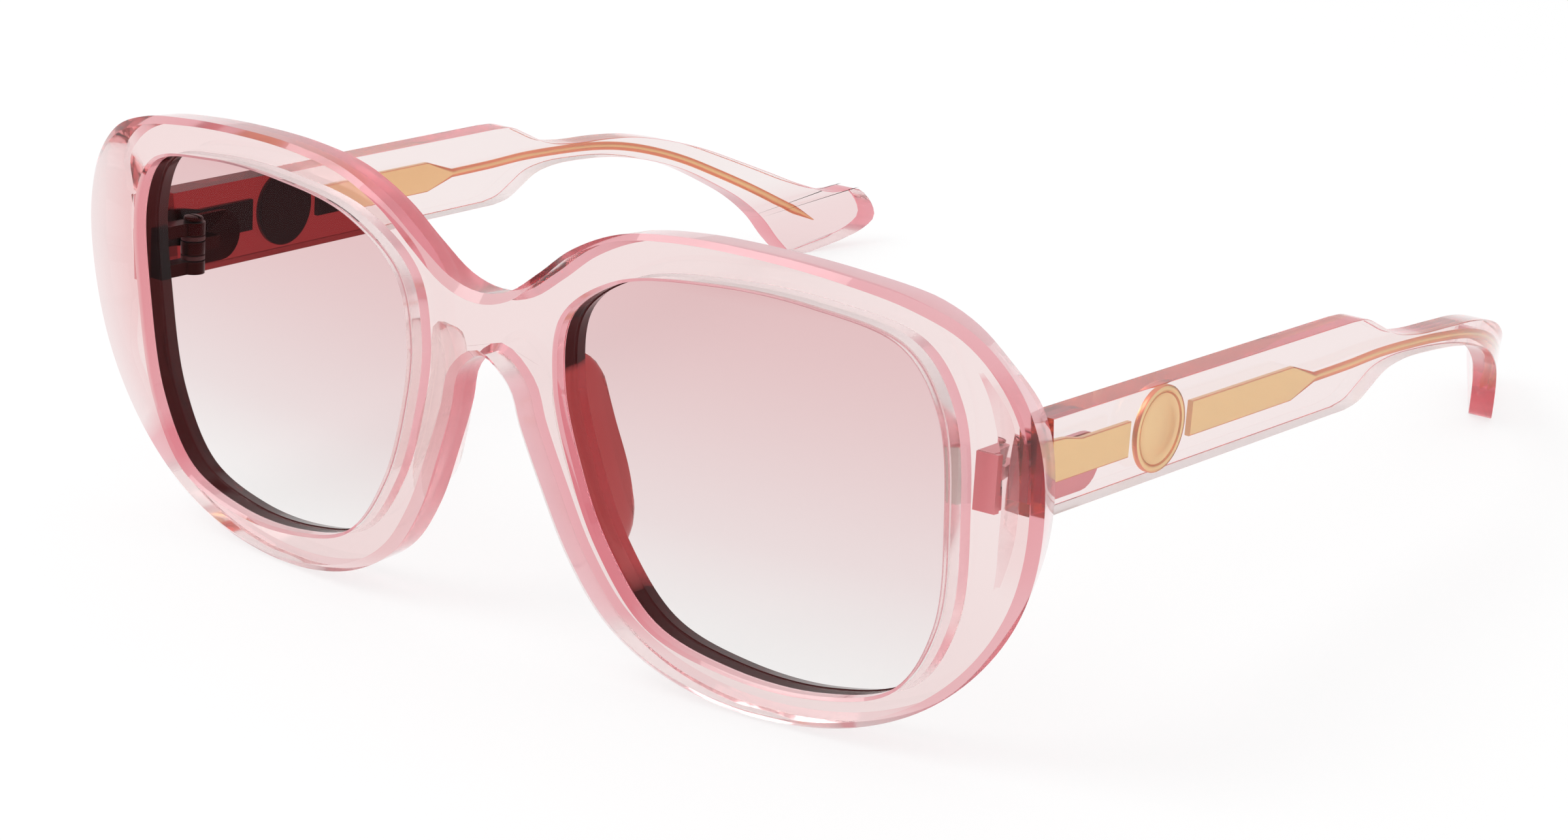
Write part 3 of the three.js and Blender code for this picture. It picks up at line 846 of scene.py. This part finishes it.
class SUNGLASSES_OT_hinges(bpy.types.Operator):
    """Builds the two hinges: leaves, screws and washers"""

    bl_idname = "sunglasses.hinges"
    bl_label = "Hinges"

    def execute(self, context):
        sizes = context.scene.sunglasses_sizes
        leaf = front_leaf(sizes.front_thickness * 1000)
        place_pair(leaf, "front_hinge_leaf", "front", "hinge_metal")
        leaf = temple_leaf(sizes.temple_thickness * 1000)
        place_pair(leaf, "temple_hinge_leaf", "temple_{}", "hinge_metal")
        place_pair(hinge_screw(), "hinge_screw", "front", "hinge_metal")
        place_pair(hinge_washer(1), "hinge_washer_upper", "front", "washer")
        place_pair(hinge_washer(-1), "hinge_washer_lower", "front", "washer")
        return {"FINISHED"}


# ---- materials ------------------------------------------------------------------------------
MATERIALS = {
    "front": "front acetate",
    "temple": "temple acetate",
    "pad": "pad acetate",
    "lens": "gradient lens",
    "gold": "satin gold",
    "hinge_metal": "hinge steel",
    "washer": "nylon",
}


# Painted shade of the acetate along its walls, and painted shade where the tinted lens covers it.
FRONT_WALL_PAINTED_SHADE = (0.74, 0.26, 0.31)
TEMPLE_WALL_PAINTED_SHADE = (0.72, 0.15, 0.19)
PAD_WALL_PAINTED_SHADE = (0.97, 0.9, 0.9)
FRONT_PAINTED_SHADE_BEHIND_LENS = (0.003, 0.0001, 0.0001)
TEMPLE_PAINTED_SHADE_BEHIND_LENS = (0.12, 0.002, 0.0022)
PAD_PAINTED_SHADE_BEHIND_LENS = (0.25, 0.014, 0.014)
# Painted shade of the metals and the nylon behind the lens, and a painted rose shade on the steel
# inside the acetate.
GOLD_PAINTED_SHADE_BEHIND_LENS = (0.04, 0.005, 0.004)
STEEL_PAINTED_SHADE_BEHIND_LENS = (0.03, 0.004, 0.004)
NYLON_PAINTED_SHADE_BEHIND_LENS = (0.06, 0.01, 0.01)
STEEL_PAINTED_SHADE_IN_ACETATE = (0.80, 0.33, 0.36)
LIGHT_BOUNCES = 32
FLOOR_GAP = 0.0001


def new_material(slot):
    material = bpy.data.materials.new(MATERIALS[slot])
    material.use_nodes = True
    nodes = material.node_tree.nodes
    nodes.clear()
    return nodes, material.node_tree.links


def add(nodes, kind, **inputs):
    """A node with the given input sockets set to constants."""
    node = nodes.new(kind)
    for key, value in inputs.items():
        node.inputs[key.replace("_", " ")].default_value = value
    return node


def surface_variation():
    """Group: object coordinates in, a slow cloud, a fine grain and a polished bump out."""
    group = bpy.data.node_groups.new("Surface variation", "ShaderNodeTree")
    for name, kind in (("Cloud", "NodeSocketFloat"), ("Grain", "NodeSocketFloat"),
                       ("Normal", "NodeSocketVector")):
        group.interface.new_socket(name=name, in_out="OUTPUT", socket_type=kind)
    for name, default in (("Cloud Scale", 60.0), ("Grain Scale", 2500.0), ("Bump", 0.02)):
        socket = group.interface.new_socket(name=name, in_out="INPUT",
                                            socket_type="NodeSocketFloat")
        socket.default_value = default
    nodes, links = group.nodes, group.links
    given = nodes.new("NodeGroupInput")
    made = nodes.new("NodeGroupOutput")
    place = nodes.new("ShaderNodeTexCoord")
    cloud = add(nodes, "ShaderNodeTexNoise", Detail=2.0, Roughness=0.4)
    grain = add(nodes, "ShaderNodeTexNoise", Detail=4.0, Roughness=0.6)
    bump = add(nodes, "ShaderNodeBump", Distance=0.0002)
    links.new(place.outputs["Object"], cloud.inputs["Vector"])
    links.new(place.outputs["Object"], grain.inputs["Vector"])
    links.new(given.outputs["Cloud Scale"], cloud.inputs["Scale"])
    links.new(given.outputs["Grain Scale"], grain.inputs["Scale"])
    links.new(given.outputs["Bump"], bump.inputs["Strength"])
    links.new(grain.outputs["Fac"], bump.inputs["Height"])
    links.new(cloud.outputs["Fac"], made.inputs["Cloud"])
    links.new(grain.outputs["Fac"], made.inputs["Grain"])
    links.new(bump.outputs["Normal"], made.inputs["Normal"])
    return group


def wall_mask():
    """Group: 1 on edges and walls, 0 on the broad faces, which look along Face Direction."""
    group = bpy.data.node_groups.new("Wall mask", "ShaderNodeTree")
    group.interface.new_socket(name="Wall", in_out="OUTPUT", socket_type="NodeSocketFloat")
    group.interface.new_socket(name="Face Direction", in_out="INPUT",
                               socket_type="NodeSocketVector")
    nodes, links = group.nodes, group.links
    given = nodes.new("NodeGroupInput")
    made = nodes.new("NodeGroupOutput")
    place = nodes.new("ShaderNodeTexCoord")
    facing = nodes.new("ShaderNodeVectorMath")
    facing.operation = "DOT_PRODUCT"
    links.new(place.outputs["Normal"], facing.inputs[0])
    links.new(given.outputs["Face Direction"], facing.inputs[1])
    size = nodes.new("ShaderNodeMath")
    size.operation = "ABSOLUTE"
    links.new(facing.outputs["Value"], size.inputs[0])
    painted_wall_shade = ranged(nodes, links, size.outputs[0], 1.0, 0.0, 0.72, 0.93)
    links.new(painted_wall_shade, made.inputs["Wall"])
    return group


def use_group(nodes, group, **inputs):
    node = nodes.new("ShaderNodeGroup")
    node.node_tree = group
    for key, value in inputs.items():
        node.inputs[key.replace("_", " ")].default_value = value
    return node


def ranged(nodes, links, source, low, high, from_low=0.3, from_high=0.7):
    node = add(nodes, "ShaderNodeMapRange")
    node.inputs["From Min"].default_value = from_low
    node.inputs["From Max"].default_value = from_high
    node.inputs["To Min"].default_value = low
    node.inputs["To Max"].default_value = high
    links.new(source, node.inputs["Value"])
    return node.outputs["Result"]


def mixed_colour(nodes, links, factor, first, second):
    node = nodes.new("ShaderNodeMix")
    node.data_type = "RGBA"
    links.new(factor, node.inputs["Factor"])
    for socket, colour in ((node.inputs["A"], first), (node.inputs["B"], second)):
        if isinstance(colour, bpy.types.NodeSocket):
            links.new(colour, socket)
        else:
            socket.default_value = (*colour, 1.0)
    return node.outputs["Result"]


def calculated(nodes, links, operation, first, second=0.0):
    node = nodes.new("ShaderNodeMath")
    node.operation = operation
    for socket, value in zip(node.inputs, (first, second)):
        if isinstance(value, bpy.types.NodeSocket):
            links.new(value, socket)
        else:
            socket.default_value = value
    return node.outputs[0]


def behind_lens(nodes, links, first_hit=False):
    """1 where a piece is seen through the tinted lens; first_hit leaves out what lies deeper."""
    path = nodes.new("ShaderNodeLightPath")
    passed = calculated(nodes, links, "GREATER_THAN", path.outputs["Transparent Depth"], 0.5)
    if first_hit:
        passed = calculated(nodes, links, "MULTIPLY", passed, path.outputs["Is Camera Ray"])
    return passed


def outside_only(nodes, links, painted_wall_shade, across):
    """Leaves the painted shade of the end pieces' walls only where they are seen from outside."""
    end = ranged(nodes, links, across, 0.0, 0.7, 0.0635, 0.0655)
    side = nodes.new("ShaderNodeNewGeometry")
    inside = calculated(nodes, links, "MULTIPLY", end, side.outputs["Backfacing"])
    return calculated(nodes, links, "MULTIPLY", painted_wall_shade,
                      calculated(nodes, links, "SUBTRACT", 1.0, inside))


def acetate_material(look, colours, group, mask, face_direction, painted_wall_shade, painted_lens_shade):
    """Clear plastic, with painted shade along its walls and painted shade where the tinted lens
    covers it.
    """
    nodes, links = new_material(look)
    out = nodes.new("ShaderNodeOutputMaterial")
    shader = add(nodes, "ShaderNodeBsdfPrincipled", Metallic=0.0, IOR=1.2)
    shader.inputs["Transmission Weight"].default_value = 1.0
    shader.inputs["Coat Roughness"].default_value = 0.02
    shader.inputs["Coat IOR"].default_value = 1.5
    variation = use_group(nodes, group, Cloud_Scale=45.0, Grain_Scale=900.0, Bump=0.01)
    tone_and_painted_shade = mixed_colour(nodes, links, variation.outputs["Cloud"], (0.925, 0.955, 0.94),
                        (0.915, 0.93, 0.92))
    edge = use_group(nodes, mask, Face_Direction=face_direction).outputs["Wall"]
    if look == "front":
        place = nodes.new("ShaderNodeTexCoord")
        parts = nodes.new("ShaderNodeSeparateXYZ")
        links.new(place.outputs["Object"], parts.inputs[0])
        across = calculated(nodes, links, "ABSOLUTE", parts.outputs["X"])
        edge = outside_only(nodes, links, edge, across)
        # The painted shade on the walls fades towards the lower edge that the pair stands on.
        fade = ranged(nodes, links, parts.outputs["Z"], 0.35, 1.0, 0.003, 0.007)
        edge = calculated(nodes, links, "MULTIPLY", edge, fade)
        # Near the nose the rim's painted shade behind the lens takes the pad's lighter colour.
        nose = calculated(nodes, links, "MULTIPLY",
                          ranged(nodes, links, across, 1.0, 0.0, 0.0185, 0.0205),
                          ranged(nodes, links, parts.outputs["Z"], 1.0, 0.0, 0.0365, 0.0375))
        painted_lens_shade = mixed_colour(nodes, links, nose, painted_lens_shade, PAD_PAINTED_SHADE_BEHIND_LENS)
    # Painted shade: walls and edges are drawn a deeper rose.
    tone_and_painted_shade = mixed_colour(nodes, links, edge, tone_and_painted_shade, painted_wall_shade)
    # Painted shade: what is seen through the tinted lens is drawn much darker.
    covered = behind_lens(nodes, links, first_hit=True)
    tone_and_painted_shade = mixed_colour(nodes, links, covered, tone_and_painted_shade, painted_lens_shade)
    links.new(tone_and_painted_shade, shader.inputs["Base Color"])
    links.new(ranged(nodes, links, covered, 0.8, 0.0, 0.0, 1.0), shader.inputs["Coat Weight"])
    links.new(ranged(nodes, links, edge, 0.01, 0.16, 0.0, 1.0), shader.inputs["Roughness"])
    links.new(variation.outputs["Normal"], shader.inputs["Normal"])
    depth = add(nodes, "ShaderNodeVolumeAbsorption", Density=colours.acetate_depth)
    depth.inputs["Color"].default_value = (*colours.acetate, 1.0)
    links.new(shader.outputs[0], out.inputs["Surface"])
    links.new(depth.outputs[0], out.inputs["Volume"])


def lens_material(colours, group):
    """Tint that fades downwards, with a polished coat."""
    nodes, links = new_material("lens")
    out = nodes.new("ShaderNodeOutputMaterial")
    place = nodes.new("ShaderNodeTexCoord")
    parts = nodes.new("ShaderNodeSeparateXYZ")
    links.new(place.outputs["Object"], parts.inputs[0])
    low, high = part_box("lens_right")
    height = ranged(nodes, links, parts.outputs["Z"], 0.0, 1.0, low.z, high.z)
    ramp = nodes.new("ShaderNodeValToRGB")
    ramp.color_ramp.interpolation = "B_SPLINE"
    stops = ((0.0, colours.lens_low), (0.35, colours.lens_middle), (0.95, colours.lens_high))
    ramp.color_ramp.elements[0].position = stops[0][0]
    ramp.color_ramp.elements[0].color = (*stops[0][1], 1.0)
    ramp.color_ramp.elements[1].position = stops[-1][0]
    ramp.color_ramp.elements[1].color = (*stops[-1][1], 1.0)
    middle = ramp.color_ramp.elements.new(stops[1][0])
    middle.color = (*stops[1][1], 1.0)
    links.new(height, ramp.inputs[0])
    clear = nodes.new("ShaderNodeBsdfTransparent")
    gloss = add(nodes, "ShaderNodeBsdfGlossy")
    variation = use_group(nodes, group, Cloud_Scale=30.0, Grain_Scale=1200.0, Bump=0.004)
    links.new(ranged(nodes, links, variation.outputs["Grain"], 0.02, 0.05),
              gloss.inputs["Roughness"])
    gloss.inputs["Color"].default_value = (1, 0.97, 0.97, 1)
    facing = nodes.new("ShaderNodeFresnel")
    side = nodes.new("ShaderNodeNewGeometry")
    links.new(ranged(nodes, links, side.outputs["Backfacing"], 1.45, 1 / 1.45, 0.0, 1.0),
              facing.inputs["IOR"])
    mix = nodes.new("ShaderNodeMixShader")
    links.new(ranged(nodes, links, facing.outputs[0], 0.0, 0.06, 0.0, 1.0), mix.inputs[0])
    links.new(ramp.outputs["Color"], clear.inputs["Color"])
    links.new(clear.outputs[0], mix.inputs[1])
    links.new(gloss.outputs[0], mix.inputs[2])
    links.new(mix.outputs[0], out.inputs["Surface"])


def metal_material(slot, colour, painted_lens_shade, through, group, rough, brushed):
    """Satin metal. through is its colour where it is seen through acetate, a painted shade where it
    differs from the metal's own colour; behind the tinted lens it takes a painted shade colour.
    """
    nodes, links = new_material(slot)
    out = nodes.new("ShaderNodeOutputMaterial")
    shader = add(nodes, "ShaderNodeBsdfPrincipled", Metallic=1.0)
    variation = use_group(nodes, group, Cloud_Scale=90.0, Grain_Scale=brushed, Bump=0.001)
    tone_and_painted_shade = mixed_colour(nodes, links, variation.outputs["Cloud"], colour,
                        [c * 0.94 for c in colour])
    path = nodes.new("ShaderNodeLightPath")
    # Painted rose shade where the metal is seen through acetate.
    tone_and_painted_shade = mixed_colour(nodes, links, path.outputs["Is Transmission Ray"], tone_and_painted_shade, through)
    # Painted shade where the metal is seen through the tinted lens.
    tone_and_painted_shade = mixed_colour(nodes, links, behind_lens(nodes, links), tone_and_painted_shade, painted_lens_shade)
    links.new(tone_and_painted_shade, shader.inputs["Base Color"])
    links.new(ranged(nodes, links, variation.outputs["Grain"], rough[0], rough[1]),
              shader.inputs["Roughness"])
    links.new(variation.outputs["Normal"], shader.inputs["Normal"])
    links.new(shader.outputs[0], out.inputs["Surface"])


def nylon_material(colours, group):
    nodes, links = new_material("washer")
    out = nodes.new("ShaderNodeOutputMaterial")
    shader = add(nodes, "ShaderNodeBsdfPrincipled", Metallic=0.0)
    shader.inputs["Subsurface Weight"].default_value = 0.0
    variation = use_group(nodes, group, Cloud_Scale=300.0, Grain_Scale=5000.0, Bump=0.1)
    tone_and_painted_shade = mixed_colour(nodes, links, variation.outputs["Cloud"], colours.nylon,
                        [c * 0.9 for c in colours.nylon])
    # Painted shade where the washer is seen through the tinted lens.
    tone_and_painted_shade = mixed_colour(nodes, links, behind_lens(nodes, links), tone_and_painted_shade, NYLON_PAINTED_SHADE_BEHIND_LENS)
    links.new(tone_and_painted_shade, shader.inputs["Base Color"])
    links.new(ranged(nodes, links, variation.outputs["Grain"], 0.4, 0.6),
              shader.inputs["Roughness"])
    links.new(variation.outputs["Normal"], shader.inputs["Normal"])
    links.new(shader.outputs[0], out.inputs["Surface"])


class SUNGLASSES_OT_materials(bpy.types.Operator):
    """Makes the procedural materials of acetate, lens, gold, steel and nylon"""

    bl_idname = "sunglasses.materials"
    bl_label = "Materials"

    def execute(self, context):
        colours = context.scene.sunglasses_colours
        group = surface_variation()
        mask = wall_mask()
        acetate_material("front", colours, group, mask, (0, 1, 0), FRONT_WALL_PAINTED_SHADE,
                         FRONT_PAINTED_SHADE_BEHIND_LENS)
        acetate_material("temple", colours, group, mask, (1, 0, 0), TEMPLE_WALL_PAINTED_SHADE,
                         TEMPLE_PAINTED_SHADE_BEHIND_LENS)
        acetate_material("pad", colours, group, mask, (0, 1, 0), PAD_WALL_PAINTED_SHADE, PAD_PAINTED_SHADE_BEHIND_LENS)
        lens_material(colours, group)
        metal_material("gold", colours.gold, GOLD_PAINTED_SHADE_BEHIND_LENS, colours.gold, group,
                       (0.28, 0.34), 1200.0)
        metal_material("hinge_metal", colours.steel, STEEL_PAINTED_SHADE_BEHIND_LENS, STEEL_PAINTED_SHADE_IN_ACETATE,
                       group, (0.3, 0.36), 2400.0)
        nylon_material(colours, group)
        return {"FINISHED"}


# ---- stage ----------------------------------------------------------------------------------
def stage_floor():
    deselect()
    bpy.ops.mesh.primitive_plane_add(size=6.0)
    floor = named("floor")
    floor.location.z = -FLOOR_GAP
    material = bpy.data.materials.new("floor")
    material.use_nodes = True
    shader = material.node_tree.nodes["Principled BSDF"]
    shader.inputs["Base Color"].default_value = (0.25, 0.25, 0.25, 1)
    shader.inputs["Roughness"].default_value = 0.9
    shader.inputs["Specular IOR Level"].default_value = 0.0
    shader.inputs["Emission Color"].default_value = (1, 1, 1, 1)
    shader.inputs["Emission Strength"].default_value = 0.72
    floor.data.materials.append(material)


def stage_light(name, place, size, watts, target=(0, -0.02, 0.02)):
    deselect()
    bpy.ops.object.light_add(type="AREA", location=place)
    light = bpy.context.object
    light.name = name
    light.data.shape = "RECTANGLE"
    light.data.size, light.data.size_y = size
    light.data.energy = watts
    light.rotation_euler = (Vector(target) - Vector(place)).to_track_quat("-Z", "Y").to_euler()


def stage_world():
    world = bpy.data.worlds.new("studio")
    bpy.context.scene.world = world
    world.use_nodes = True
    nodes, links = world.node_tree.nodes, world.node_tree.links
    back = nodes["Background"]
    place = nodes.new("ShaderNodeTexCoord")
    parts = nodes.new("ShaderNodeSeparateXYZ")
    links.new(place.outputs["Generated"], parts.inputs[0])
    bright = ranged(nodes, links, parts.outputs["Z"], 0.72, 1.0, -0.1, 0.7)
    links.new(bright, back.inputs["Strength"])
    back.inputs["Color"].default_value = (1, 1, 1, 1)


def stage_camera():
    deselect()
    bpy.ops.object.camera_add()
    camera = bpy.context.object
    up = CAMERA_BACK.cross(CAMERA_RIGHT)
    turn = Matrix((CAMERA_RIGHT, up, CAMERA_BACK)).transposed().to_4x4()
    turn = TO_FRAME.to_3x3().normalized().to_4x4() @ turn
    camera.matrix_world = Matrix.Translation(TO_FRAME @ CAMERA_PLACE) @ turn
    camera.data.lens = CAMERA_LENS
    camera.data.sensor_width = 36.0
    camera.data.clip_start = 0.01
    bpy.context.scene.camera = camera


class SUNGLASSES_OT_stage(bpy.types.Operator):
    """Sets up the pale floor, the soft light, the world and the camera"""

    bl_idname = "sunglasses.stage"
    bl_label = "Stage"

    def execute(self, context):
        stage_floor()
        stage_world()
        stage_light("key", (-0.5, -0.5, 0.9), (0.6, 0.6), 4)
        stage_camera()
        cycles = context.scene.cycles
        cycles.max_bounces = LIGHT_BOUNCES
        cycles.glossy_bounces = LIGHT_BOUNCES
        cycles.transmission_bounces = LIGHT_BOUNCES
        cycles.transparent_max_bounces = LIGHT_BOUNCES
        context.scene.view_settings.view_transform = "Standard"
        context.scene.view_settings.look = "None"
        return {"FINISHED"}


# ---- add-on ---------------------------------------------------------------------------------
class SunglassesSizes(bpy.types.PropertyGroup):
    """Sizes of the built pieces"""

    front_thickness: bpy.props.FloatProperty(
        name="Front thickness", description="Thickness of the acetate front",
        default=0.006, min=0.004, max=0.008, subtype="DISTANCE", unit="LENGTH")
    edge_rounding: bpy.props.FloatProperty(
        name="Front edge rounding", description="Width of the polish round the front's edges",
        default=0.00035, min=0.0001, max=0.0008, subtype="DISTANCE", unit="LENGTH")
    temple_thickness: bpy.props.FloatProperty(
        name="Temple thickness", description="Thickness of each acetate temple",
        default=0.0036, min=0.003, max=0.005, subtype="DISTANCE", unit="LENGTH")
    temple_rounding: bpy.props.FloatProperty(
        name="Temple edge rounding", description="Width of the polish along the temples",
        default=0.0006, min=0.0002, max=0.0012, subtype="DISTANCE", unit="LENGTH")
    lens_thickness: bpy.props.FloatProperty(
        name="Lens thickness", description="Thickness of each lens",
        default=0.0020, min=0.0014, max=0.0022, subtype="DISTANCE", unit="LENGTH")


class SunglassesColours(bpy.types.PropertyGroup):
    """Colours of the materials"""

    acetate: bpy.props.FloatVectorProperty(
        name="Acetate", description="What the acetate lets through, per unit of its depth",
        default=(0.83, 0.03, 0.04), min=0, max=1, subtype="COLOR")
    acetate_depth: bpy.props.FloatProperty(
        name="Acetate density", description="How fast the acetate takes up light, per metre",
        default=36.0, min=0, max=500)
    lens_high: bpy.props.FloatVectorProperty(
        name="Lens, top", description="Tint of each lens face at its upper edge",
        default=(0.865, 0.70, 0.705), min=0, max=1, subtype="COLOR")
    lens_middle: bpy.props.FloatVectorProperty(
        name="Lens, middle", description="Tint of each lens face in its lower half",
        default=(0.91, 0.86, 0.86), min=0, max=1, subtype="COLOR")
    lens_low: bpy.props.FloatVectorProperty(
        name="Lens, bottom", description="Tint of each lens face at its lower edge",
        default=(0.967, 0.98, 0.975), min=0, max=1, subtype="COLOR")
    gold: bpy.props.FloatVectorProperty(
        name="Gold", description="Colour of the metal cores",
        default=(0.93, 0.62, 0.30), min=0, max=1, subtype="COLOR")
    steel: bpy.props.FloatVectorProperty(
        name="Steel", description="Colour of the hinges",
        default=(0.66, 0.60, 0.57), min=0, max=1, subtype="COLOR")
    nylon: bpy.props.FloatVectorProperty(
        name="Nylon", description="Colour of the hinge washers",
        default=(0.82, 0.79, 0.76), min=0, max=1, subtype="COLOR")


OPERATORS = (
    SUNGLASSES_OT_materials,
    SUNGLASSES_OT_front,
    SUNGLASSES_OT_pads,
    SUNGLASSES_OT_lenses,
    SUNGLASSES_OT_temples,
    SUNGLASSES_OT_cores,
    SUNGLASSES_OT_hinges,
    SUNGLASSES_OT_stage,
)


class SUNGLASSES_PT_panel(bpy.types.Panel):
    bl_idname = "SUNGLASSES_PT_panel"
    bl_label = "Sunglasses"
    bl_space_type = "VIEW_3D"
    bl_region_type = "UI"
    bl_category = "Sunglasses"

    def draw(self, context):
        layout = self.layout
        for group in (context.scene.sunglasses_sizes, context.scene.sunglasses_colours):
            for name in group.__annotations__:
                layout.prop(group, name)
        for operator in OPERATORS:
            layout.operator(operator.bl_idname)


CLASSES = (SunglassesSizes, SunglassesColours, *OPERATORS, SUNGLASSES_PT_panel)


def register():
    for cls in CLASSES:
        bpy.utils.register_class(cls)
    bpy.types.Scene.sunglasses_sizes = bpy.props.PointerProperty(type=SunglassesSizes)
    bpy.types.Scene.sunglasses_colours = bpy.props.PointerProperty(type=SunglassesColours)


def unregister():
    del bpy.types.Scene.sunglasses_colours
    del bpy.types.Scene.sunglasses_sizes
    for cls in reversed(CLASSES):
        bpy.utils.unregister_class(cls)


def main():
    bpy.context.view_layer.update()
    register()
    bpy.ops.sunglasses.materials()
    bpy.ops.sunglasses.front()
    bpy.ops.sunglasses.pads()
    bpy.ops.sunglasses.lenses()
    bpy.ops.sunglasses.temples()
    bpy.ops.sunglasses.cores()
    bpy.ops.sunglasses.hinges()
    bpy.ops.sunglasses.stage()


if __name__ == "__main__":
    main()
